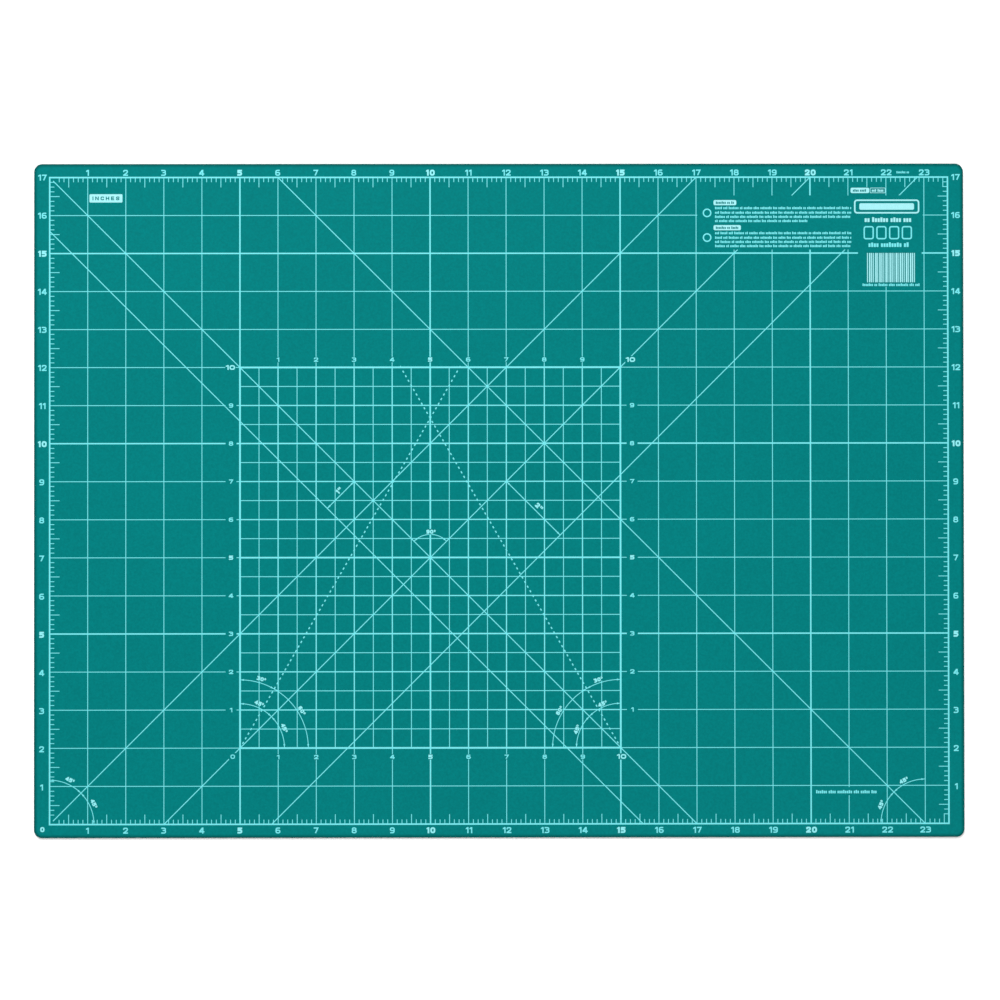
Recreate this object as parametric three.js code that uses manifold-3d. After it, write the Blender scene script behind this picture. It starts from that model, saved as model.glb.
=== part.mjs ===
// A2-size self-healing cutting mat: three plastic sheets pressed together with heat and then
// die-cut in one stroke, so that all three share one outline and one rounded cut edge.
//
// Frame: origin at the centre of the underside, +X along the long side, +Y across it towards
// the edge at the top of the ruling, +Z up out of the work surface. Millimetres.
import * as THREE from "three";
import { mergeVertices } from "three/addons/utils/BufferGeometryUtils.js";
import Module from "manifold-3d";

// Driving dimensions.
const MAT_LENGTH = 621;
const MAT_WIDTH = 450;
const CORNER_RADIUS = 5.5;
const SKIN_THICKNESS = 0.7; // each soft cutting sheet
const CORE_THICKNESS = 0.6; // the hard sheet between them, which stops the blade
const EDGE_ROUND_WIDTH = 1.6; // how far in the die rounds the cut edge over, on both faces
const EDGE_ROUND_DEPTH = 0.6; // how deep that rounding goes, within one soft sheet

// Fineness of the round stretches.
const CORNER_STEPS = 10;
const EDGE_STEPS = 5;

const MAT_THICKNESS = 2 * SKIN_THICKNESS + CORE_THICKNESS;
const CORE_BOTTOM = SKIN_THICKNESS;
const CORE_TOP = SKIN_THICKNESS + CORE_THICKNESS;

const wasm = await Module();
wasm.setup();

// The sheets, from the underside up. Both skins are the same soft green sheet, turned over.
const SHEETS = [
  {
    name: "bottom_cutting_sheet",
    low: 0,
    high: CORE_BOTTOM,
    finish: { color: 0x047f7b, roughness: 0.62, metalness: 0 },
  },
  {
    name: "hard_core_sheet",
    low: CORE_BOTTOM,
    high: CORE_TOP,
    finish: { color: 0x9fb3a8, roughness: 0.45, metalness: 0 },
  },
  {
    name: "top_cutting_sheet",
    low: CORE_TOP,
    high: MAT_THICKNESS,
    finish: { color: 0x047f7b, roughness: 0.62, metalness: 0 },
  },
];

// A rectangle about the origin with its four corners rounded.
function roundedRectangle(length, width, radius) {
  const x = length / 2;
  const y = width / 2;
  return new THREE.Shape()
    .moveTo(x, radius - y)
    .lineTo(x, y - radius)
    .absarc(x - radius, y - radius, radius, 0, Math.PI / 2, false)
    .lineTo(radius - x, y)
    .absarc(radius - x, y - radius, radius, Math.PI / 2, Math.PI, false)
    .lineTo(-x, radius - y)
    .absarc(radius - x, radius - y, radius, Math.PI, 1.5 * Math.PI, false)
    .lineTo(x - radius, -y)
    .absarc(x - radius, radius - y, radius, 1.5 * Math.PI, 2 * Math.PI, false);
}

// The whole laminate as it leaves the die, standing on z = 0, with both cut edges rounded over.
function laminateGeometry() {
  const outline = roundedRectangle(MAT_LENGTH, MAT_WIDTH, CORNER_RADIUS);
  return new THREE.ExtrudeGeometry(outline, {
    depth: MAT_THICKNESS - 2 * EDGE_ROUND_DEPTH,
    curveSegments: CORNER_STEPS,
    bevelEnabled: true,
    bevelThickness: EDGE_ROUND_DEPTH,
    bevelSize: EDGE_ROUND_WIDTH,
    bevelOffset: -EDGE_ROUND_WIDTH,
    bevelSegments: EDGE_STEPS,
  }).translate(0, 0, EDGE_ROUND_DEPTH);
}

// A closed geometry as a manifold-3d solid.
function toSolid(geometry) {
  const bare = geometry.clone();
  bare.deleteAttribute("normal");
  bare.deleteAttribute("uv");
  const merged = mergeVertices(bare);
  return new wasm.Manifold(
    new wasm.Mesh({
      numProp: 3,
      vertProperties: merged.attributes.position.array,
      triVerts: merged.index.array,
    }),
  );
}

// A manifold-3d solid as a geometry.
function toGeometry(solid) {
  const { vertProperties, triVerts } = solid.getMesh();
  const geometry = new THREE.BufferGeometry();
  geometry.setAttribute("position", new THREE.BufferAttribute(vertProperties, 3));
  geometry.setIndex(new THREE.BufferAttribute(triVerts, 1));
  geometry.computeVertexNormals();
  return geometry;
}

// The layer of a solid between two heights, cut out with a block wider than the mat.
function layerOf(solid, low, high) {
  const block = new THREE.BoxGeometry(2 * MAT_LENGTH, 2 * MAT_WIDTH, high - low);
  return solid.intersect(toSolid(block.translate(0, 0, (low + high) / 2)));
}

function makeSheet(laminate, { name, low, high, finish }) {
  const geometry = toGeometry(layerOf(laminate, low, high));
  const sheet = new THREE.Mesh(geometry, new THREE.MeshStandardMaterial(finish));
  sheet.name = name;
  return sheet;
}

const laminate = toSolid(laminateGeometry());
const mat = new THREE.Group();
mat.name = "cutting_mat";
for (const sheet of SHEETS) {
  mat.add(makeSheet(laminate, sheet));
}

export default mat;
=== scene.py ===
"""A2 self-healing cutting mat: three laminated plastic sheets with a ruling printed on both faces.

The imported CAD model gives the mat's size and place. The sheets are rebuilt here with a fine rounded
edge, and the print is made as a thin film of ink on the surface, laid out in inches on the front
and in centimetres on the back.
"""

import math

import bpy
from mathutils import Matrix, Vector
from mathutils.geometry import delaunay_2d_cdt


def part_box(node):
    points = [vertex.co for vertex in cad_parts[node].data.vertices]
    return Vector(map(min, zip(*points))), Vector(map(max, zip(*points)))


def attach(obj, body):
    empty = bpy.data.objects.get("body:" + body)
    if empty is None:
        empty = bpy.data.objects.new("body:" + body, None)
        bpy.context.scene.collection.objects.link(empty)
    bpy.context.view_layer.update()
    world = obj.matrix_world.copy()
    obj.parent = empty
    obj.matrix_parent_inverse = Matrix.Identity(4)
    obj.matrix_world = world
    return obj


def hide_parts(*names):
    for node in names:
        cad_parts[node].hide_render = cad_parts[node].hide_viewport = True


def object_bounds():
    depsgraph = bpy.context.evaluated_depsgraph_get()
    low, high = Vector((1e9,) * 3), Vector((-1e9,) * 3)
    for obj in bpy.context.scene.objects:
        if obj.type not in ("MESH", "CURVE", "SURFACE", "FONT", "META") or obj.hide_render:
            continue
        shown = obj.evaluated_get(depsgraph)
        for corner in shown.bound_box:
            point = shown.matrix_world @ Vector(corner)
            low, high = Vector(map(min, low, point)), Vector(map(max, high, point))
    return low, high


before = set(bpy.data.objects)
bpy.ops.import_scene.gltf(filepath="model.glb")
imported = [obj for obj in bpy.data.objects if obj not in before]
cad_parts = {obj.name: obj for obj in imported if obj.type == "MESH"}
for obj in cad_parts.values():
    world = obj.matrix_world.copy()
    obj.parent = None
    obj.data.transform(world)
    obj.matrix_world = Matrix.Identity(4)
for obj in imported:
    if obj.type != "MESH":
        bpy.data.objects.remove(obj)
CAD_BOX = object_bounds()

MM = 0.001
INCH = 25.4  # in millimetres, like every length here that doesn't say otherwise
CENTIMETRE = 10

# The mat's size, from the frame.
LENGTH = (CAD_BOX[1].x - CAD_BOX[0].x) / MM
WIDTH = (CAD_BOX[1].y - CAD_BOX[0].y) / MM
THICKNESS = (CAD_BOX[1].z - CAD_BOX[0].z) / MM
CORE_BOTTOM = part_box("hard_core_sheet")[0].z / MM
CORE_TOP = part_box("hard_core_sheet")[1].z / MM

# The sheets' edge.
CORNER_RADIUS = 5.5
CORNER_STEPS = 24
EDGE_ROUND_WIDTH = 1.6
EDGE_ROUND_DEPTH = 0.6
EDGE_STEPS = 8
SEAM_DEPTH = 0.05  # how far the core and the sheets' inner edges lie back from the outline
RIM_SHADE_WIDTH = 2.6  # how far in from the outline the painted shade along the rounded edge reaches
RIM_SHADE_SOLID = 0.8  # the outer part of that width, where the painted shade is darkest

# The ink film.
INK_HEIGHT = 0.02
INK_ROOT = 0.01  # how far the film is sunk into the sheet, so that it never parts from it

# Line weights of the print.
FRAME_LINE = 1.0
BOLD_LINE = 0.92
SQUARE_LINE = 1.15
SQUARE_BOLD_LINE = 1.05
SQUARE_INCH_LINE = 0.72
FINE_LINE = 0.48
BIAS_LINE = 0.58

# The front ruling. Places on it are in inches from the frame's lower left corner.
INCHES_LONG = 23
INCHES_WIDE = 17
RULING_LENGTH = 600
RULING_WIDTH = INCHES_WIDE * INCH
BOLD_EVERY = 5  # lines and numerals, on both faces
TICKS_PER_INCH = 8
SHORT_TICK = 3.1
HALF_TICK = 6.6
CORNER_TICKS = 1.5  # the first tick is more than this many eighths from the frame's corner
LAST_TICK_GAP = 0.05  # the last is at least this far before the next corner, in inches
SQUARE_LEFT = 5
SQUARE_BOTTOM = 2
SQUARE_SIDE = 10
BIAS_START = 0.09  # a 45 degree line starts this far inside the frame's corner
BIAS_FOOT = 3  # where the second rising 45 degree line leaves the frame's lower side
ONE_APART_MARK = (8, 9)  # where the marks across the 45 degree lines start
TWO_APART_MARK = (12, 9)

# The marks for angles: the arcs' radii, their arrowheads and the dotted lines.
SMALL_ARC = 29.6
LARGE_ARC = 45.5
RIGHT_ANGLE_ARC = 15.4
ARC_STEPS = 40
ARROW_LENGTH = 2.6
ARROW_WIDTH = 1.2
DOT_PITCH = 3.53
DOT_START = 0.5  # how far the row of dots is moved along from its corner
DOT_LENGTH = 1.45
DOT_WIDTH = 0.8

# Numerals.
NUMERAL_HEIGHT = 4.0
SMALL_NUMERAL_HEIGHT = 2.85
ANGLE_HEIGHT = 2.7
SPACING_HEIGHT = 3.3
RIGHT_ANGLE_GAP = 1.8  # from the arc to the middle of its numerals
REGULAR = 0.205  # the weight of a stroke, as a share of the character's height
BOLD = 0.28
HEAVY = 0.3
TOP_NUMERAL_GAP = 3.15  # from the frame to the middle of the numerals
BOTTOM_NUMERAL_GAP = 4.1
SIDE_NUMERAL_GAP = 5.15
SIDE_NUMERAL_DROP = 0.7  # how far the lowest of them sit below their line; the highest are level
ONE_DIGIT_SHIFT = -0.15  # how far such a number stands to the right of its place
TWO_DIGIT_SHIFT = 0.25
ZERO_SHIFT = (-4.8, -3.3)  # from the frame's corner to the 0 outside it
ZERO_SIZE = 0.85  # of the other numerals' height

# Numerals round the inner square: their middles are this far from its sides.
SQUARE_LEFT_GAP = 6.0
SQUARE_RIGHT_GAP = 7.8
SQUARE_TOP_GAP = 5.2
SQUARE_BOTTOM_GAP = 6.0
SQUARE_REGULAR = 0.23
SQUARE_WIDE = 1.25  # how much wider they are than the frame's
TEN_WIDE = 1.4
TEN_SIZE = 1.1  # of the others' height
SIDE_CLEARING = (7.4, 1.6)  # left out of the level line under a numeral at the sides
ROW_CLEARING = (2.4, 3.7)  # left out of the upright line under one above or below

# The back ruling.
CENTIMETRES_LONG = 60
CENTIMETRES_WIDE = 43
BACK_NUMERAL_HEIGHT = 2.6
BACK_NUMERAL_GAP = 3.6

# Fineness of the print.
SHORTEST_EDGE = 0.004  # of a printed shape
MERGE_DISTANCE = 0.001  # points of the print nearer than this become one
LEAST_LEAN = 0.4  # a mitre is cut short where the cosine of half its turn is less
LONGEST_ROUNDING = 0.49  # of a corner, as a share of the stretches that meet in it
BLOCK_CORNER_STEPS = 6
RING_STEPS = 24

SHARP_ANGLE = 35  # edges that turn more degrees than this are shaded sharp

# ---------------------------------------------------------------------------------------------
# Flat shapes: each is a list of corners, counter-clockwise, in millimetres from the mat's centre.


def rectangle(left, bottom, right, top):
    return [(left, bottom), (right, bottom), (right, top), (left, top)]


def centred_rectangle(centre, width, height):
    x, y = centre
    return rectangle(x - width / 2, y - height / 2, x + width / 2, y + height / 2)


def stroke(points, width, closed=False, cap=0):
    """A pen line of one width through the points: one shape for each stretch, mitred between.

    An open line runs on by the cap beyond its first and last points.
    """
    path = [Vector(p) for p in points]
    if not closed:
        path[0] = path[0] + (path[0] - path[1]).normalized() * cap
        path[-1] = path[-1] + (path[-1] - path[-2]).normalized() * cap
    count = len(path)
    stretches = count if closed else count - 1
    ways = [(path[(i + 1) % count] - path[i]).normalized() for i in range(stretches)]
    offsets = []
    for i in range(count):
        before = ways[i - 1] if closed or i > 0 else ways[i]
        after = ways[i % stretches] if closed or i < count - 1 else ways[i - 1]
        side = Vector((-before.y - after.y, before.x + after.x)).normalized()
        lean = max(LEAST_LEAN, side.dot(Vector((-after.y, after.x))))
        offsets.append(side * (width / 2 / lean))
    shapes = []
    for i in range(stretches):
        j = (i + 1) % count
        right = [path[i] - offsets[i], path[j] - offsets[j]]
        left = [path[j] + offsets[j], path[i] + offsets[i]]
        if (right[1] - right[0]).dot(ways[i]) < SHORTEST_EDGE:
            right = [(right[0] + right[1]) / 2]  # the inside of a tight turn
        elif (left[0] - left[1]).dot(ways[i]) < SHORTEST_EDGE:
            left = [(left[0] + left[1]) / 2]
        shapes.append([tuple(corner) for corner in right + left])
    return shapes


def line(start, end, width):
    return stroke([start, end], width)


def arrowhead(tail, tip):
    way = (Vector(tip) - Vector(tail)).normalized()
    side = Vector((-way.y, way.x)) * (ARROW_WIDTH / 2)
    return [tuple(Vector(tail) - side), tuple(tip), tuple(Vector(tail) + side)]


def polar(centre, radius, degrees):
    angle = math.radians(degrees)
    return (centre[0] + radius * math.cos(angle), centre[1] + radius * math.sin(angle))


def shifted(point, dx, dy):
    return (point[0] + dx, point[1] + dy)


def arc_points(centre, radius, start, end, steps):
    return [polar(centre, radius, start + (end - start) * i / steps) for i in range(steps + 1)]


def rounded_path(points, radius, closed=False, steps=5):
    """The path with each inner corner replaced by a short curve that starts radius away from it."""
    path = [Vector(p) for p in points]
    count = len(path)
    result = []
    for i in range(count):
        if not closed and i in (0, count - 1):
            result.append(path[i])
            continue
        before = path[i - 1] - path[i]
        after = path[(i + 1) % count] - path[i]
        reach_before = before.normalized() * min(radius, before.length * LONGEST_ROUNDING)
        reach_after = after.normalized() * min(radius, after.length * LONGEST_ROUNDING)
        for k in range(steps + 1):
            t = k / steps
            result.append(path[i] + reach_before * (1 - t) ** 2 + reach_after * t**2)
    return result


def placed(shapes, centre, degrees=0):
    """The shapes, made about (0, 0), turned and moved to the centre."""
    turn = Matrix.Rotation(math.radians(degrees), 2)
    middle = Vector(centre)
    return [[tuple(turn @ Vector(p) + middle) for p in shape] for shape in shapes]


def box_around(shapes, degrees):
    """The rectangle, turned by that much, that just holds the shapes."""
    points = [point for shape in placed(shapes, (0, 0), -degrees) for point in shape]
    across = [x for x, _ in points]
    up = [y for _, y in points]
    box = rectangle(min(across), min(up), max(across), max(up))
    return placed([box], (0, 0), degrees)[0]


def rounded_rectangle_points(width, height, radius, steps):
    """The outline of a rectangle about (0, 0) with its corners rounded."""
    x, y = width / 2 - radius, height / 2 - radius
    corners = [((x, y), 0), ((-x, y), 90), ((-x, -y), 180), ((x, -y), 270)]
    outline = []
    for centre, start in corners:
        outline += arc_points(centre, radius, start, start + 90, steps)
    return outline


# ---------------------------------------------------------------------------------------------
# Characters: pen paths in a box one unit high and as wide as the first number says. A "path" and
# a closed "loop" have rounded corners, "sharp" is a path that keeps its corners, and "fill" is a
# solid shape. The pen stays within the box, while a fill is given in shares of the box itself.

ROUND = 0.34  # how round the corners of a character are, as a share of its size
LIGHTER = {"°": 0.65}  # signs that are drawn with a finer pen

CHARACTERS = {
    "0": (0.84, [("loop", [(0, 0), (1, 0), (1, 1), (0, 1)])]),
    "1": (
        0.46,
        [
            ("sharp", [(1, 0), (1, 1)]),
            ("fill", [(0, 0.64), (0.8, 0.76), (0.8, 1), (0.52, 1), (0, 0.84)]),
        ],
    ),
    "2": (
        0.8,
        [
            ("path", [(0, 0.78), (0, 1), (1, 1), (1, 0.56), (0.15, 0.11)]),
            ("sharp", [(0, 0), (1, 0)]),
        ],
    ),
    "3": (
        0.8,
        [
            ("path", [(0, 1), (0.97, 1), (0.97, 0.55), (0.4, 0.55)]),
            ("path", [(0.4, 0.55), (1, 0.55), (1, 0), (0, 0)]),
        ],
    ),
    "4": (
        0.86,
        [
            ("sharp", [(0.76, 0), (0.76, 1)]),
            ("sharp", [(0, 0.24), (1, 0.24)]),
            ("fill", [(0, 0.25), (0.26, 0.25), (0.8, 0.92), (0.8, 1), (0.52, 1), (0, 0.4)]),
        ],
    ),
    "5": (
        0.8,
        [
            ("sharp", [(0.96, 1), (0.04, 1), (0.02, 0.58)]),
            ("path", [(0.04, 0.58), (1, 0.6), (1, 0), (0, 0)]),
        ],
    ),
    "6": (
        0.82,
        [
            ("path", [(0.88, 1), (0, 1), (0, 0.3)]),
            ("loop", [(0, 0), (1, 0), (1, 0.56), (0, 0.56)]),
        ],
    ),
    "7": (0.78, [("sharp", [(0, 1), (1, 1), (0.4, 0.05)])]),
    "8": (
        0.82,
        [
            ("loop", [(0, 0), (1, 0), (1, 0.54), (0, 0.54)]),
            ("loop", [(0.05, 0.54), (0.95, 0.54), (0.95, 1), (0.05, 1)]),
        ],
    ),
    "9": (
        0.82,
        [
            ("path", [(0.12, 0), (1, 0), (1, 0.7)]),
            ("loop", [(0, 0.44), (1, 0.44), (1, 1), (0, 1)]),
        ],
    ),
    "°": (0.46, [("loop", [(0, 0.55), (1, 0.55), (1, 1), (0, 1)])]),
    '"': (0.62, [("sharp", [(0, 1), (0, 0.78)]), ("sharp", [(1, 1), (1, 0.78)])]),
    "I": (0.14, [("sharp", [(0.5, 0), (0.5, 1)])]),
    "N": (
        0.76,
        [
            ("sharp", [(0, 0), (0, 1)]),
            ("fill", [(0.74, 0), (1, 0), (0.26, 1), (0, 1)]),
            ("sharp", [(1, 0), (1, 1)]),
        ],
    ),
    "C": (0.74, [("path", [(1, 0.82), (1, 1), (0, 1), (0, 0), (1, 0), (1, 0.18)])]),
    "H": (
        0.74,
        [
            ("sharp", [(0, 0), (0, 1)]),
            ("sharp", [(1, 0), (1, 1)]),
            ("sharp", [(0, 0.5), (1, 0.5)]),
        ],
    ),
    "E": (0.68, [("sharp", [(1, 1), (0, 1), (0, 0), (1, 0)]), ("sharp", [(0, 0.5), (0.85, 0.5)])]),
    "S": (
        0.74,
        [("path", [(1, 0.84), (1, 1), (0, 1), (0, 0.52), (1, 0.48), (1, 0), (0, 0), (0, 0.16)])],
    ),
}


def character(sign, height, weight, wide):
    """One character's shapes about (0, 0), and its width.

    The weight is the pen's share of the height, and wide stretches the width alone.
    """
    share, paths = CHARACTERS[sign]
    pen = weight * height * LIGHTER.get(sign, 1)
    width = max(share * wide * height, pen)
    shapes = []
    for kind, points in paths:
        if kind == "fill":
            shapes.append([((x - 0.5) * width, (y - 0.5) * height) for x, y in points])
            continue
        pen_points = [
            ((x - 0.5) * (width - pen), (y - 0.5) * (height - pen)) for x, y in points
        ]
        closed = kind == "loop"
        if kind != "sharp":
            pen_points = rounded_path(pen_points, ROUND * min(width, height), closed)
        shapes += stroke(pen_points, pen, closed, cap=pen / 2)
    return shapes, width


def text(words, centre, height, weight, degrees=0, gap=0.16, wide=1):
    """A word or a number, its middle at the centre, turned about it, as a list of shapes.

    The gap between its characters is a share of the height.
    """
    made = [character(sign, height, weight, wide) for sign in words]
    space = gap * height
    total = sum(width for _, width in made) + space * (len(made) - 1)
    pen_x = -total / 2
    shapes = []
    for strokes, width in made:
        shapes += placed(strokes, (pen_x + width / 2, 0))
        pen_x += width + space
    return placed(shapes, centre, degrees)


# ---------------------------------------------------------------------------------------------
# Meshes.


def make_object(name, vertices, faces, material, smooth=False):
    mesh = bpy.data.meshes.new(name)
    mesh.from_pydata(vertices, [], faces)
    mesh.materials.append(material)
    mesh.update()
    if smooth:
        mesh.shade_smooth()
        mesh.set_sharp_from_angle(angle=math.radians(SHARP_ANGLE))
    obj = bpy.data.objects.new(name, mesh)
    bpy.context.scene.collection.objects.link(obj)
    return obj


def merged_triangles(layers, clearings):
    """Merges overlapping shapes into one flat net of triangles.

    layers maps a layer's name to its shapes. A triangle goes to the first layer that covers it,
    and one that lies in a clearing goes to none. Returns the points, and each layer's triangles.
    """
    points = []
    outlines = []
    owners = []
    for owner, shapes in [*layers.items(), (None, clearings)]:
        for shape in shapes:
            outlines.append(list(range(len(points), len(points) + len(shape))))
            points += [Vector(p) for p in shape]
            owners.append(owner)
    net = delaunay_2d_cdt(points, [], outlines, 1, MERGE_DISTANCE, True)
    net_points, _, triangles, _, _, sources = net
    found = {name: [] for name in layers}
    for triangle, source in zip(triangles, sources):
        covering = {owners[i] for i in source}
        if None in covering:
            continue
        for name in layers:
            if name in covering:
                found[name].append(triangle)
                break
    return net_points, found


def ink_film(name, points, triangles, material, face):
    """A closed film of ink over the triangles, on the mat's "front" or "back" face."""
    used = sorted({i for triangle in triangles for i in triangle})
    place = {old: new for new, old in enumerate(used)}
    count = len(used)
    if face == "front":
        outer, inner, turn = THICKNESS + INK_HEIGHT, THICKNESS - INK_ROOT, 1
    else:
        outer, inner, turn = -INK_HEIGHT, INK_ROOT, -1
    vertices = [(turn * points[i].x * MM, points[i].y * MM, outer * MM) for i in used]
    vertices += [(turn * points[i].x * MM, points[i].y * MM, inner * MM) for i in used]
    shown = [[place[i] for i in triangle] for triangle in triangles]
    edges = {(t[k], t[(k + 1) % len(t)]) for t in shown for k in range(len(t))}
    rim = sorted((a, b) for a, b in edges if (b, a) not in edges)
    faces = list(shown)
    faces += [[i + count for i in reversed(t)] for t in shown]
    faces += [[b, a, a + count, b + count] for a, b in rim]
    return make_object(name, vertices, faces, material)


def print_film(face, name, points, triangles, material):
    film = ink_film(f"{face}_{name}", points, triangles, material, face)
    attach(film, "root")


def print_lines(face, layers, clearings, material):
    """Prints each layer as one piece of ink film on that face of the mat."""
    points, found = merged_triangles(layers, clearings)
    for name, triangles in found.items():
        print_film(face, name, points, triangles, material)


def print_marks(face, name, marks, material):
    """Prints marks that don't touch each other as one piece of ink film.

    A mark is a list of shapes, or a pair of lists: shapes, and what is left out of them.
    """
    all_points = []
    all_triangles = []
    for mark in marks:
        shapes, left_out = mark if isinstance(mark, tuple) else (mark, [])
        points, found = merged_triangles({name: shapes}, left_out)
        start = len(all_points)
        all_points += points
        all_triangles += [[start + i for i in triangle] for triangle in found[name]]
    print_film(face, name, all_points, all_triangles, material)


def rim_share(inset):
    """How much of the painted shade along the edge shows that far in from the outline, from 1 to 0.
    """
    return max(0, min(1, (RIM_SHADE_WIDTH - inset) / (RIM_SHADE_WIDTH - RIM_SHADE_SOLID)))


def lofted_sheet(name, profile, material):
    """A sheet of the mat's outline. profile is (inset, height) from its lower face to its upper."""
    rings = []
    for inset, height in profile:
        outline = rounded_rectangle_points(
            LENGTH - 2 * inset, WIDTH - 2 * inset, CORNER_RADIUS - inset, CORNER_STEPS
        )
        rings.append([(x * MM, y * MM, height * MM) for x, y in outline])
    around = len(rings[0])
    vertices = [point for ring in rings for point in ring]
    faces = [list(reversed(range(around)))]
    for level in range(len(rings) - 1):
        low, high = level * around, (level + 1) * around
        for i in range(around):
            j = (i + 1) % around
            faces.append([low + i, low + j, high + j, high + i])
    top = (len(rings) - 1) * around
    faces.append([top + i for i in range(around)])
    sheet = make_object(name, vertices, faces, material, smooth=True)
    # The rim attribute masks the painted shade along the edge: 1 at the outline, 0 on the flat face.
    rim = sheet.data.attributes.new("rim", "FLOAT", "POINT")
    for level, (inset, _) in enumerate(profile):
        for i in range(around):
            rim.data[level * around + i].value = rim_share(inset)
    return sheet


# ---------------------------------------------------------------------------------------------
# Materials.


class Nodes:
    """A short way to add and link the nodes of one material."""

    def __init__(self, name):
        self.material = bpy.data.materials.new(name)
        self.material.use_nodes = True
        self.tree = self.material.node_tree
        self.shader = self.tree.nodes["Principled BSDF"]
        place = self.tree.nodes.new("ShaderNodeTexCoord")
        self.place = place.outputs["Object"]

    def link(self, output, socket):
        self.tree.links.new(output, socket)

    def noise(self, size_mm, detail=2.0, roughness=0.5, stretch=(1, 1, 1)):
        """Noise whose largest features are about size_mm across."""
        mapping = self.tree.nodes.new("ShaderNodeMapping")
        mapping.inputs["Scale"].default_value = stretch
        self.link(self.place, mapping.inputs["Vector"])
        noise = self.tree.nodes.new("ShaderNodeTexNoise")
        noise.inputs["Scale"].default_value = 1 / (size_mm * MM)
        noise.inputs["Detail"].default_value = detail
        noise.inputs["Roughness"].default_value = roughness
        self.link(mapping.outputs["Vector"], noise.inputs["Vector"])
        return noise.outputs["Fac"]

    def colours(self, factor, stops):
        """Runs the factor through colours at the given places."""
        ramp = self.tree.nodes.new("ShaderNodeValToRGB")
        while len(ramp.color_ramp.elements) < len(stops):
            ramp.color_ramp.elements.new(0.5)
        for element, (where, colour) in zip(ramp.color_ramp.elements, stops):
            element.position = where
            element.color = (*colour, 1)
        self.link(factor, ramp.inputs["Fac"])
        return ramp.outputs["Color"]

    def multiplied(self, first, second):
        """One colour times another."""
        mix = self.tree.nodes.new("ShaderNodeMix")
        mix.data_type = "RGBA"
        mix.blend_type = "MULTIPLY"
        mix.inputs["Factor"].default_value = 1.0
        self.link(first, mix.inputs["A"])
        self.link(second, mix.inputs["B"])
        return mix.outputs["Result"]

    def attribute(self, name):
        node = self.tree.nodes.new("ShaderNodeAttribute")
        node.attribute_name = name
        return node.outputs["Fac"]

    def spread(self, factor, low, high):
        """Maps a factor of 0.3 to 0.7, where noise mostly lies, to low and high."""
        node = self.tree.nodes.new("ShaderNodeMapRange")
        node.inputs["From Min"].default_value = 0.3
        node.inputs["From Max"].default_value = 0.7
        node.inputs["To Min"].default_value = low
        node.inputs["To Max"].default_value = high
        self.link(factor, node.inputs["Value"])
        return node.outputs["Result"]

    def bump(self, layers):
        """Stacks bumps: layers is a list of (height output, depth in mm)."""
        normal = None
        for height, depth_mm in layers:
            node = self.tree.nodes.new("ShaderNodeBump")
            node.inputs["Strength"].default_value = 1.0
            node.inputs["Distance"].default_value = depth_mm * MM
            self.link(height, node.inputs["Height"])
            if normal is not None:
                self.link(normal, node.inputs["Normal"])
            normal = node.outputs["Normal"]
        self.link(normal, self.shader.inputs["Normal"])


def shaded(colour, factor):
    """The colour made darker or lighter by the factor."""
    return tuple(channel * factor for channel in colour)


MAT_GREEN = (0.0004, 0.169, 0.168)
# The ink, from solid areas to thin lines: the thinner the stroke, the more green shows through.
INK_MINT = (0.31, 0.70, 0.735)
BOLD_INK_MINT = (0.235, 0.70, 0.735)
FINE_INK_MINT = (0.15, 0.66, 0.70)
CORE_GREY = (0.20, 0.27, 0.24)
# Painted shade along the rounded edge, standing in for the shade it falls into under light from
# above; the plastic is not darker there.
RIM_PAINTED_SHADE = (0.52, 0.52, 0.50)


def soft_plastic(name):
    """Matte green PVC with a fine sand grain from the press rollers, and painted shade along its
    rounded edge.
    """
    nodes = Nodes(name)
    cloud = nodes.noise(size_mm=90, detail=3)
    speck = nodes.noise(size_mm=1.4, detail=2)
    grain = nodes.noise(size_mm=0.45, detail=2, roughness=0.6)
    broad = nodes.colours(
        cloud, [(0.3, shaded(MAT_GREEN, 0.98)), (0.7, shaded(MAT_GREEN, 1.02))]
    )
    fine = nodes.colours(speck, [(0.3, (0.87, 0.87, 0.87)), (0.7, (1.02, 1.02, 1.02))])
    face = nodes.multiplied(broad, fine)
    # Painted shade along the rounded edge, masked by the rim attribute.
    rim = nodes.colours(nodes.attribute("rim"), [(0, (1, 1, 1)), (1, RIM_PAINTED_SHADE)])
    nodes.link(nodes.multiplied(face, rim), nodes.shader.inputs["Base Color"])
    nodes.link(nodes.spread(speck, 0.5, 0.62), nodes.shader.inputs["Roughness"])
    nodes.shader.inputs["Specular IOR Level"].default_value = 0.02
    nodes.bump([(grain, 0.04), (speck, 0.04)])
    return nodes.material


def core_plastic(name):
    """Hard pale PVC, with the drawn marks that a die leaves along its edge."""
    nodes = Nodes(name)
    streak = nodes.noise(size_mm=0.5, detail=3, stretch=(1, 1, 0.15))
    colour = nodes.colours(
        streak, [(0.3, shaded(CORE_GREY, 0.85)), (0.7, shaded(CORE_GREY, 1.1))]
    )
    nodes.link(colour, nodes.shader.inputs["Base Color"])
    nodes.link(nodes.spread(streak, 0.4, 0.55), nodes.shader.inputs["Roughness"])
    nodes.shader.inputs["Specular IOR Level"].default_value = 0.3
    nodes.bump([(streak, 0.02)])
    return nodes.material


def screen_ink(name, colour):
    """Opaque pale ink, slightly uneven where the sheet's grain shows through it."""
    nodes = Nodes(name)
    cover = nodes.noise(size_mm=0.6, detail=3)
    grain = nodes.noise(size_mm=0.3, detail=2)
    tint = nodes.colours(cover, [(0.25, shaded(colour, 0.88)), (0.6, colour)])
    nodes.link(tint, nodes.shader.inputs["Base Color"])
    nodes.link(nodes.spread(cover, 0.42, 0.55), nodes.shader.inputs["Roughness"])
    nodes.shader.inputs["Specular IOR Level"].default_value = 0.1
    nodes.bump([(grain, 0.01)])
    return nodes.material


# ---------------------------------------------------------------------------------------------
# The sheets.


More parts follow.
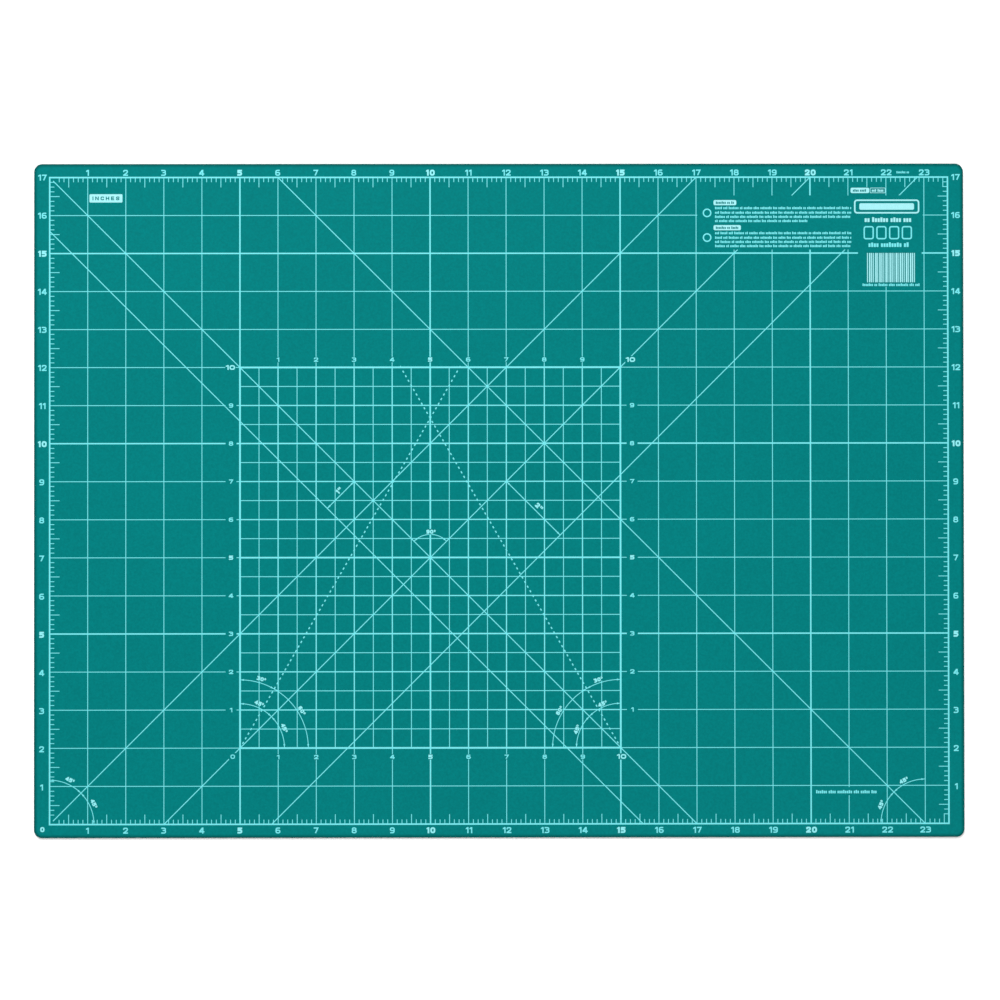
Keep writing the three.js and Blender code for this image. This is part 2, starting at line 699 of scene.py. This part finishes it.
def edge_round(face_height, side_height):
    """(inset, height) along a rounded edge, from the upright side to the flat face."""
    steps = []
    for i in range(EDGE_STEPS + 1):
        angle = math.radians(90 * i / EDGE_STEPS)
        inset = EDGE_ROUND_WIDTH * (1 - math.cos(angle))
        height = side_height + (face_height - side_height) * math.sin(angle)
        steps.append((inset, height))
    return steps


def make_sheets():
    green = soft_plastic("green_soft_plastic")
    core = core_plastic("core_plastic")
    upper = edge_round(THICKNESS, THICKNESS - EDGE_ROUND_DEPTH)
    upper += [(RIM_SHADE_WIDTH, THICKNESS), (2 * RIM_SHADE_WIDTH, THICKNESS)]
    upper = [(SEAM_DEPTH, CORE_TOP), (0, CORE_TOP + SEAM_DEPTH), *upper]
    lower = edge_round(0, EDGE_ROUND_DEPTH)
    lower += [(RIM_SHADE_WIDTH, 0), (2 * RIM_SHADE_WIDTH, 0)]
    lower = [(SEAM_DEPTH, CORE_BOTTOM), (0, CORE_BOTTOM - SEAM_DEPTH), *lower]
    lower.reverse()
    middle = [(SEAM_DEPTH, CORE_BOTTOM), (SEAM_DEPTH, CORE_TOP)]
    sheets = [
        ("top_cutting_sheet", "top_sheet", upper, green, "green_soft_plastic"),
        ("hard_core_sheet", "core_sheet", middle, core, "core_plastic"),
        ("bottom_cutting_sheet", "bottom_sheet", lower, green, "green_soft_plastic"),
    ]
    for node, name, profile, material, slot in sheets:
        sheet = lofted_sheet(name, profile, material)
        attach(sheet, "root")
        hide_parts(node)


# ---------------------------------------------------------------------------------------------
# What the two rulings share.


def weight_of(count):
    """The weight of a numeral's strokes."""
    return BOLD if count % BOLD_EVERY == 0 else REGULAR


def line_width(count):
    """The width of that line of a grid."""
    return BOLD_LINE if count % BOLD_EVERY == 0 else FINE_LINE


def ruled_grid(place, last_along, last_up, right, top):
    """Lines at whole units of a ruling, whose place function takes (along, up) in its units."""
    shapes = []
    for along in range(1, last_along + 1):
        shapes += line(place(along, 0), place(along, top), line_width(along))
    for up in range(1, last_up + 1):
        shapes += line(place(0, up), place(right, up), line_width(up))
    return shapes


def ruled_frame(right, top):
    """The frame round a ruling, from its upper right corner in millimetres."""
    corners = [(-right, -top), (right, -top), (right, top), (-right, top)]
    return stroke(corners, FRAME_LINE, closed=True)


# ---------------------------------------------------------------------------------------------
# The front print, in inches from the frame's lower left corner.


def at(along, up):
    """The point that many inches along and up the ruling, in millimetres from the mat's centre."""
    return (along * INCH - RULING_LENGTH / 2, up * INCH - RULING_WIDTH / 2)


def block(left, bottom, right, top):
    """A rectangle given in inches."""
    return rectangle(*at(left, bottom), *at(right, top))


FRAME_RIGHT = RULING_LENGTH / INCH  # the frame's right side, in inches
SQUARE_RIGHT = SQUARE_LEFT + SQUARE_SIDE
SQUARE_TOP = SQUARE_BOTTOM + SQUARE_SIDE


def frame_and_ticks():
    """The frame, with a tick at every eighth of an inch and a longer one at every half."""
    shapes = ruled_frame(RULING_LENGTH / 2, RULING_WIDTH / 2)
    corner_gap = CORNER_TICKS / TICKS_PER_INCH
    for length, far_side, upright in (
        (FRAME_RIGHT, INCHES_WIDE, False),
        (INCHES_WIDE, FRAME_RIGHT, True),
    ):
        for count in range(1, int(length * TICKS_PER_INCH) + 1):
            where = count / TICKS_PER_INCH
            in_reach = corner_gap < where < length - LAST_TICK_GAP
            if count % TICKS_PER_INCH == 0 or not in_reach:
                continue
            reach = HALF_TICK if count % (TICKS_PER_INCH // 2) == 0 else SHORT_TICK
            for edge, inward in ((0, 1), (far_side, -1)):
                if upright:
                    start = at(edge, where)
                    end = shifted(start, inward * reach, 0)
                else:
                    start = at(where, edge)
                    end = shifted(start, 0, inward * reach)
                shapes += line(start, end, FINE_LINE)
    return shapes


def inch_grid():
    return ruled_grid(at, INCHES_LONG, INCHES_WIDE - 1, FRAME_RIGHT, INCHES_WIDE)


def inner_square():
    """The square with its grid of half inches."""
    shapes = []
    for count in range(2 * SQUARE_SIDE + 1):
        offset = count / 2
        if offset in (0, SQUARE_SIDE):
            width = SQUARE_LINE
        elif offset == SQUARE_SIDE / 2:
            width = SQUARE_BOLD_LINE
        elif count % 2 == 0:
            width = SQUARE_INCH_LINE
        else:
            width = FINE_LINE
        along, up = SQUARE_LEFT + offset, SQUARE_BOTTOM + offset
        shapes += line(at(along, SQUARE_BOTTOM), at(along, SQUARE_TOP), width)
        shapes += line(at(SQUARE_LEFT, up), at(SQUARE_RIGHT, up), width)
    return shapes


def bias_lines():
    """The 45 degree lines, and the two short marks that give the distance between them."""
    one_apart = math.sqrt(2)
    two_apart = 2 * math.sqrt(2)
    low_left = INCHES_WIDE - one_apart
    far_foot = BIAS_FOOT + two_apart
    one_x, one_y = ONE_APART_MARK
    two_x, two_y = TWO_APART_MARK
    marks = [
        (ONE_APART_MARK, (one_x - one_apart / 2, one_y - one_apart / 2)),
        (TWO_APART_MARK, (two_x + two_apart / 2, two_y - two_apart / 2)),
    ]
    lines = [
        ((BIAS_START, INCHES_WIDE - BIAS_START), (INCHES_WIDE, 0)),
        ((0, low_left), (low_left, 0)),
        ((INCHES_LONG - INCHES_WIDE, INCHES_WIDE), (INCHES_LONG, 0)),
        ((BIAS_START, BIAS_START), (INCHES_WIDE, INCHES_WIDE)),
        ((BIAS_FOOT, 0), (BIAS_FOOT + INCHES_WIDE, INCHES_WIDE)),
        ((far_foot, 0), (far_foot + INCHES_WIDE, INCHES_WIDE)),
    ]
    shapes = []
    for first, second in lines + marks:
        shapes += line(at(*first), at(*second), BIAS_LINE)
    for first, second in marks:
        start, end = Vector(at(*first)), Vector(at(*second))
        reach = (end - start).normalized() * ARROW_LENGTH
        shapes.append(arrowhead(start + reach, start))
        shapes.append(arrowhead(end - reach, end))
    return shapes


def sixty_degree_dots():
    """Dotted lines at 60 degrees from both lower corners of the inner square to its top."""
    shapes = []
    length = SQUARE_SIDE * INCH / math.sin(math.radians(60))
    for corner, degrees in (
        (at(SQUARE_LEFT, SQUARE_BOTTOM), 60),
        (at(SQUARE_RIGHT, SQUARE_BOTTOM), 120),
    ):
        for i in range(1, int(length / DOT_PITCH) + 1):
            middle = i * DOT_PITCH + DOT_START
            start = polar(corner, middle - DOT_LENGTH / 2, degrees)
            end = polar(corner, middle + DOT_LENGTH / 2, degrees)
            shapes += line(start, end, DOT_WIDTH)
    return shapes


def angle_arc(centre, radius, stops):
    """An arc with an arrowhead on each side of every line that it meets, at the stops."""
    shapes = stroke(arc_points(centre, radius, stops[0], stops[-1], ARC_STEPS), FINE_LINE)
    reach = math.copysign(math.degrees(ARROW_LENGTH / radius), stops[-1] - stops[0])
    for first, last in zip(stops, stops[1:]):
        for tail, tip in ((first + reach, first), (last - reach, last)):
            shapes.append(arrowhead(polar(centre, radius, tail), polar(centre, radius, tip)))
    return shapes


def angle_marks():
    """The arcs, the numerals just outside them, and the clearings in the lines under those."""
    arcs = []
    numerals = []
    clearings = []

    def mark(centre, radius, stops, labels, gap, mirrored=False):
        if mirrored:
            stops = [180 - stop for stop in stops]
            labels = [(words, 180 - degrees) for words, degrees in labels]
        arcs.extend(angle_arc(centre, radius, stops))
        for words, degrees in labels:
            middle = polar(centre, radius + gap, degrees)
            turn = degrees - 90
            label = text(words, middle, ANGLE_HEIGHT, HEAVY, turn, gap=0.08)
            numerals.append(label)
            clearings.append(box_around(label, turn))

    # The places along each arc differ a little from corner to corner: the degrees of its lower
    # and its upper numerals, and the gap between them and the arc.
    for corner, low, high, gap, mirrored in (
        (at(0, 0), 25.2, 65.4, 3.1, False),
        (at(INCHES_LONG, 0), 22.9, 63.5, 2.5, True),
        (at(SQUARE_LEFT, SQUARE_BOTTOM), 24.3, 66.8, 2.8, False),
        (at(SQUARE_RIGHT, SQUARE_BOTTOM), 22.6, 67.4, 2.1, True),
    ):
        mark(corner, SMALL_ARC, [0, 45, 90], [("45°", low), ("45°", high)], gap, mirrored)
    for corner, high, gap, mirrored in (
        (at(SQUARE_LEFT, SQUARE_BOTTOM), 72.8, 2.7, False),
        (at(SQUARE_RIGHT, SQUARE_BOTTOM), 71.8, 2.3, True),
    ):
        mark(corner, LARGE_ARC, [0, 60, 90], [("60°", 31.2), ("30°", high)], gap, mirrored)
    middle = at(SQUARE_LEFT + SQUARE_SIDE / 2, SQUARE_BOTTOM + SQUARE_SIDE / 2)
    mark(middle, RIGHT_ANGLE_ARC, [45, 135], [("90°", 88.6)], RIGHT_ANGLE_GAP)
    label = shifted(middle, 0, RIGHT_ANGLE_ARC + RIGHT_ANGLE_GAP)
    clearings.append(centred_rectangle(label, 2, ANGLE_HEIGHT + 1))
    return arcs, numerals, clearings


def frame_numerals():
    """The numerals that count the inches along all four sides of the frame, bold ones apart."""
    words = {REGULAR: [], BOLD: []}
    zero = shifted(at(0, 0), *ZERO_SHIFT)
    words[BOLD].append(text("0", zero, NUMERAL_HEIGHT * ZERO_SIZE, BOLD))

    def put(count, point, dx, dy):
        weight = weight_of(count)
        centre = shifted(point, dx + (ONE_DIGIT_SHIFT if count < 10 else TWO_DIGIT_SHIFT), dy)
        words[weight].append(text(str(count), centre, NUMERAL_HEIGHT, weight))

    for along in range(1, INCHES_LONG + 1):
        put(along, at(along, INCHES_WIDE), 0, TOP_NUMERAL_GAP)
        put(along, at(along, 0), 0, -BOTTOM_NUMERAL_GAP)
    for up in range(1, INCHES_WIDE + 1):
        drop = SIDE_NUMERAL_DROP * (1 - up / INCHES_WIDE)
        put(up, at(0, up), -SIDE_NUMERAL_GAP, -drop)
        put(up, at(FRAME_RIGHT, up), SIDE_NUMERAL_GAP, -drop)
    return words[REGULAR], words[BOLD]


def square_numerals():
    """The small wide numerals round the inner square, and the clearings in the lines under them."""
    fine = []
    bold = []
    clearings = []

    def put(count, along, up, shift, clearing):
        centre = shifted(at(along, up), *shift)
        clearings.append(centred_rectangle(centre, *clearing))
        size = SMALL_NUMERAL_HEIGHT
        if count == SQUARE_SIDE:
            bold.append(text(str(count), centre, TEN_SIZE * size, BOLD, wide=TEN_WIDE))
        elif count == BOLD_EVERY:
            bold.append(text(str(count), centre, size, BOLD, wide=SQUARE_WIDE))
        else:
            fine.append(text(str(count), centre, size, SQUARE_REGULAR, wide=SQUARE_WIDE))

    left, right = SQUARE_LEFT, SQUARE_RIGHT
    bottom, top = SQUARE_BOTTOM, SQUARE_TOP
    for count in range(1, SQUARE_SIDE):
        put(count, left, bottom + count, (-SQUARE_LEFT_GAP, 0), SIDE_CLEARING)
        put(count, right, bottom + count, (SQUARE_RIGHT_GAP, 0), SIDE_CLEARING)
        put(count, left + count, top, (0, SQUARE_TOP_GAP), ROW_CLEARING)
        put(count, left + count, bottom, (0, -SQUARE_BOTTOM_GAP), ROW_CLEARING)
    # The corners' numerals have places and clearings of their own.
    put(0, left, bottom, (-4.9, -5.7), (5, 5))
    put(SQUARE_SIDE, left, top, (-6.4, 0), (7.0, 1.6))
    put(SQUARE_SIDE, right, top, (6.8, 5.1), (7.0, 4.6))
    put(SQUARE_SIDE, right, bottom, (0.5, -5.9), (6, 4.2))
    return fine, bold, clearings


def spacing_numerals():
    """The distances beside the two marks between the 45 degree lines, and their clearings."""
    numerals = [
        text('1"', at(7.6, 8.76), SPACING_HEIGHT, BOLD, 45),
        text('2"', at(12.86, 8.33), SPACING_HEIGHT, BOLD, -45),
    ]
    return numerals, [box_around(numerals[0], 45), box_around(numerals[1], -45)]


# The labels, in inches but for their radii and line widths.
BAR_COUNT = 24
BAR_PITCH = 1.29 / BAR_COUNT
BAR_WIDTHS = (0.023, 0.036, 0.03, 0.022, 0.039)
OUTLINED_COUNT = 4
OUTLINED_PITCH = 1.34 / OUTLINED_COUNT
OUTLINED_WIDTH = 0.27
PLATE_HEIGHT = 0.135
PLATE_RADIUS = 1.0
RING_RADIUS = 2.5
RING_LINE = 0.85
NOTICE_LEFT = 17.5
NOTICE_RIGHT = 21.1
NOTICE_ROW_HEIGHT = 0.066

# Rows of strokes in place of words.
WORD_LENGTHS = (5, 3, 7, 2, 6, 4, 8, 3)  # strokes in each group
STROKE_HEIGHTS = (0.78, 1.0, 0.78, 0.78, 0.95, 0.78, 0.78)  # as shares of the row's height
STROKE_PITCH = 0.58  # of the strokes in a row, as a share of its height
STROKE_SHARE = 0.76  # a stroke's share of its pitch
WORD_SPACE = 0.7  # between groups of strokes, in pitches


def greeked(left, right, middle, height, first):
    """A row of plain upright strokes, grouped like words, in place of small text, in inches.

    The row starts with that one of the WORD_LENGTHS.
    """
    shapes = []
    pitch = height * STROKE_PITCH
    low = middle - height / 2
    where = left
    word = first
    while where < right - pitch:
        for i in range(WORD_LENGTHS[word % len(WORD_LENGTHS)]):
            if where < right - pitch:
                tall = STROKE_HEIGHTS[(i + 2 * word) % len(STROKE_HEIGHTS)] * height
                shapes.append(block(where, low, where + pitch * STROKE_SHARE, low + tall))
            where += pitch
        word += 1
        where += pitch * WORD_SPACE
    return shapes


def ring(centre, radius, width):
    last = 360 - 360 / RING_STEPS
    return stroke(arc_points(centre, radius, 0, last, RING_STEPS - 1), width, closed=True)


def rounded_block(left, bottom, right, top, radius):
    """A filled rectangle with rounded corners, in inches."""
    centre = at((left + right) / 2, (bottom + top) / 2)
    across = (right - left) * INCH
    up = (top - bottom) * INCH
    outline = rounded_rectangle_points(across, up, radius, BLOCK_CORNER_STEPS)
    return [shifted(point, *centre) for point in outline]


def outlined_block(left, bottom, right, top, radius, width):
    """A rounded rectangle drawn as a line that stays within those sides, in inches."""
    centre = at((left + right) / 2, (bottom + top) / 2)
    across = (right - left) * INCH - width
    up = (top - bottom) * INCH - width
    outline = rounded_rectangle_points(across, up, radius, BLOCK_CORNER_STEPS)
    return stroke([shifted(point, *centre) for point in outline], width, closed=True)


def labelled_plate(left, bottom, right, top, first):
    """A rounded plate with a row of strokes left out of it, as a mark, in inches."""
    plate = [rounded_block(left, bottom, right, top, PLATE_RADIUS)]
    height = (top - bottom) * 0.5
    return plate, greeked(left + 0.06, right - 0.04, (bottom + top) / 2, height, first)


def labels():
    """The generic labels: solid marks, fine marks, and the clearings in the lines for them."""
    solid = []
    fine = []
    # Two notices: a short plate, a ring, and four rows of strokes each.
    half = PLATE_HEIGHT / 2
    for plate_right, plate_up, ring_up, rows, last_right in (
        (18.06, 16.33, 16.06, (16.19, 16.07, 15.96, 15.85), 19.97),
        (18.18, 15.67, 15.41, (15.53, 15.41, 15.30, 15.19), 21.08),
    ):
        solid.append(labelled_plate(17.46, plate_up - half, plate_right, plate_up + half, 2))
        fine.append(ring(at(17.29, ring_up), RING_RADIUS, RING_LINE))
        for number, middle in enumerate(rows):
            right = last_right if middle == rows[-1] else NOTICE_RIGHT
            first = number + int(plate_up)
            fine.append(greeked(NOTICE_LEFT, right, middle, NOTICE_ROW_HEIGHT, first))
    # A small plate in two parts: the right one is only outlined.
    solid.append(labelled_plate(21.07, 16.58, 21.56, 16.72, 5))
    solid.append(outlined_block(21.58, 16.58, 21.99, 16.72, 0.4, 0.35))
    solid.append(greeked(21.63, 21.97, 16.65, 0.07, 1))
    # A plain panel and a row of plain outlined blocks, with a row of strokes under each.
    solid.append(outlined_block(21.16, 16.04, 22.88, 16.41, 1.6, 1.0))
    solid.append([rounded_block(21.3, 16.14, 22.74, 16.31, 1.0)])
    solid.append(greeked(21.44, 22.72, 15.88, 0.125, 3))
    for i in range(OUTLINED_COUNT):
        left = 21.41 + i * OUTLINED_PITCH
        fine.append(outlined_block(left, 15.36, left + OUTLINED_WIDTH, 15.71, 1.2, 0.88))
    fine.append(greeked(21.54, 22.68, 15.22, 0.12, 5))
    # A row of plain bars, with a row of small strokes under it.
    for i in range(BAR_COUNT):
        left = 21.5 + i * BAR_PITCH
        right = left + BAR_WIDTHS[i % len(BAR_WIDTHS)]
        solid.append([block(left, 14.23, right, 15.0)])
    fine.append(greeked(21.38, 22.92, 14.165, 0.07, 2))
    # One row of strokes near the lower right corner.
    fine.append(greeked(20.13, 21.8, 0.835, 0.085, 4))
    # One row of very small strokes in the margin above the frame.
    fine.append(greeked(22.28, 22.67, 17.13, 0.06, 2))
    clearings = [
        block(17.03, 15.09, 22.97, 16.52),
        block(21.26, 14.11, 22.94, 15.2),
        block(20.1, 0.74, 21.84, 0.96),
    ]
    return solid, fine, clearings


def unit_plate(word, left, bottom, right, top):
    """A plate with the word left out of it, as a mark, in inches."""
    plate = [rounded_block(left, bottom, right, top, 0.7)]
    centre = at((left + right) / 2, (bottom + top) / 2)
    height = (top - bottom) * INCH * 0.45
    return plate, text(word, centre, height, 0.25, gap=0.48, wide=1.25)


def print_front(solid_ink, bold_ink, fine_ink):
    arcs, angle_numerals, angle_clearings = angle_marks()
    distances, distance_clearings = spacing_numerals()
    frame_fine, frame_bold = frame_numerals()
    square_fine, square_bold, square_clearings = square_numerals()
    label_solid, label_fine, label_clearings = labels()
    plate = unit_plate("INCHES", 1.045, 16.343, 1.912, 16.561)
    lines = {
        "frame_and_ticks": frame_and_ticks(),
        "inner_square": inner_square(),
        "inch_grid": inch_grid(),
        "bias_lines": bias_lines(),
        "angle_arcs": arcs,
        "sixty_degree_dots": sixty_degree_dots(),
    }
    clearings = square_clearings + label_clearings + angle_clearings + distance_clearings
    print_lines("front", lines, clearings, fine_ink)
    print_marks("front", "frame_numerals", frame_fine, fine_ink)
    print_marks("front", "frame_bold_numerals", frame_bold, bold_ink)
    print_marks("front", "square_numerals", square_fine, fine_ink)
    print_marks("front", "square_bold_numerals", square_bold, bold_ink)
    print_marks("front", "angle_numerals", angle_numerals + distances, bold_ink)
    print_marks("front", "labels", label_solid, solid_ink)
    print_marks("front", "label_strokes", label_fine, fine_ink)
    print_marks("front", "unit_plate", [plate], solid_ink)


# ---------------------------------------------------------------------------------------------
# The back print, in centimetres from its frame's lower left corner.


def back_at(along, up):
    """The point that many centimetres along and up the back ruling, in millimetres."""
    x = CENTIMETRE * (along - CENTIMETRES_LONG / 2)
    y = CENTIMETRE * (up - CENTIMETRES_WIDE / 2)
    return (x, y)


def back_lines():
    """The frame with its half-centimetre ticks, and the grid of centimetres."""
    long, wide = CENTIMETRES_LONG, CENTIMETRES_WIDE
    frame_lines = ruled_frame(*back_at(long, wide))
    grid = ruled_grid(back_at, long - 1, wide - 1, long, wide)
    for count in range(CENTIMETRES_LONG):
        for up, inward in ((0, 1), (CENTIMETRES_WIDE, -1)):
            start = back_at(count + 0.5, up)
            frame_lines += line(start, shifted(start, 0, inward * SHORT_TICK), FINE_LINE)
    for count in range(CENTIMETRES_WIDE):
        for along, inward in ((0, 1), (CENTIMETRES_LONG, -1)):
            start = back_at(along, count + 0.5)
            frame_lines += line(start, shifted(start, inward * SHORT_TICK, 0), FINE_LINE)
    return {"frame_and_ticks": frame_lines, "centimetre_grid": grid}


def back_numerals():
    """The numerals that count the centimetres along all four sides, bold ones apart."""
    words = {REGULAR: [], BOLD: []}

    def put(count, point, dx, dy):
        weight = weight_of(count)
        centre = shifted(point, dx, dy)
        words[weight].append(text(str(count), centre, BACK_NUMERAL_HEIGHT, weight))

    for along in range(1, CENTIMETRES_LONG):
        put(along, back_at(along, 0), 0, -BACK_NUMERAL_GAP)
        put(along, back_at(along, CENTIMETRES_WIDE), 0, BACK_NUMERAL_GAP)
    for up in range(1, CENTIMETRES_WIDE):
        put(up, back_at(0, up), -BACK_NUMERAL_GAP, 0)
        put(up, back_at(CENTIMETRES_LONG, up), BACK_NUMERAL_GAP, 0)
    return words[REGULAR], words[BOLD]


def print_back(bold_ink, fine_ink):
    fine, bold = back_numerals()
    print_lines("back", back_lines(), [], fine_ink)
    print_marks("back", "frame_numerals", fine, fine_ink)
    print_marks("back", "frame_bold_numerals", bold, bold_ink)


# ---------------------------------------------------------------------------------------------
# The scene, in metres.

FLOOR_REACH = 0.95
FLOOR_LEVEL = -0.0001
FLOOR_WHITES = ((0.95, 0.95, 0.95), (0.97, 0.97, 0.97))
WHITE = (1, 1, 1, 1)
STUDIO_LIGHT = 0.3  # how strongly the white room lights the mat
CAMERA_HEIGHT = 1.6
CAMERA_OFFSET = (-0.0045, -0.0112)
CAMERA_TILT = (0.4098, -0.1806, -0.0605)  # degrees off straight down
CAMERA_LENS = 86.155  # in millimetres, like the sensor
CAMERA_SENSOR = 36


def area_light(name, place, size, power):
    """A soft light at the place, in metres, that faces the mat's middle."""
    data = bpy.data.lights.new(name, "AREA")
    data.shape = "DISK"
    data.size = size
    data.energy = power
    light = bpy.data.objects.new(name, data)
    bpy.context.scene.collection.objects.link(light)
    light.location = place
    light.rotation_euler = (-Vector(place)).to_track_quat("-Z", "Y").to_euler()


def make_floor():
    nodes = Nodes("floor_white")
    paper = nodes.noise(size_mm=40, detail=2)
    colour = nodes.colours(paper, [(0.3, FLOOR_WHITES[0]), (0.7, FLOOR_WHITES[1])])
    nodes.link(colour, nodes.shader.inputs["Base Color"])
    nodes.shader.inputs["Roughness"].default_value = 0.9
    nodes.shader.inputs["Specular IOR Level"].default_value = 0.0
    corners = rectangle(-FLOOR_REACH, -FLOOR_REACH, FLOOR_REACH, FLOOR_REACH)
    vertices = [(x, y, FLOOR_LEVEL) for x, y in corners]
    floor = make_object("floor", vertices, [[0, 1, 2, 3]], nodes.material)


def make_room():
    """A white room: two soft lights, a weak light from all around, and white behind it all."""
    area_light("key_light", (-0.4, 1.45, 1.9), 1.6, 60)
    area_light("fill_light", (0.3, -1.7, 2.2), 1.8, 35)

    world = bpy.data.worlds.new("studio")
    bpy.context.scene.world = world
    world.use_nodes = True
    nodes = world.node_tree.nodes
    light = nodes["Background"]
    light.inputs["Color"].default_value = WHITE
    light.inputs["Strength"].default_value = STUDIO_LIGHT
    seen = nodes.new("ShaderNodeBackground")
    seen.inputs["Color"].default_value = WHITE
    seen.inputs["Strength"].default_value = 1.0
    path = nodes.new("ShaderNodeLightPath")
    choose = nodes.new("ShaderNodeMixShader")
    links = world.node_tree.links
    links.new(path.outputs["Is Camera Ray"], choose.inputs[0])
    links.new(light.outputs[0], choose.inputs[1])
    links.new(seen.outputs[0], choose.inputs[2])
    links.new(choose.outputs[0], nodes["World Output"].inputs["Surface"])
    bpy.context.scene.view_settings.view_transform = "Standard"
    bpy.context.scene.view_settings.look = "None"


def make_camera():
    data = bpy.data.cameras.new("camera")
    data.sensor_width = CAMERA_SENSOR
    data.lens = CAMERA_LENS
    data.clip_start = 0.01
    data.clip_end = 50
    camera = bpy.data.objects.new("camera", data)
    bpy.context.scene.collection.objects.link(camera)
    camera.location = (*CAMERA_OFFSET, CAMERA_HEIGHT)
    camera.rotation_euler = [math.radians(angle) for angle in CAMERA_TILT]
    bpy.context.scene.camera = camera


make_camera()
make_floor()
make_room()
make_sheets()
solid_ink = screen_ink("print_ink", INK_MINT)
bold_ink = screen_ink("print_ink_bold", BOLD_INK_MINT)
fine_ink = screen_ink("print_ink_fine", FINE_INK_MINT)
print_front(solid_ink, bold_ink, fine_ink)
print_back(bold_ink, fine_ink)
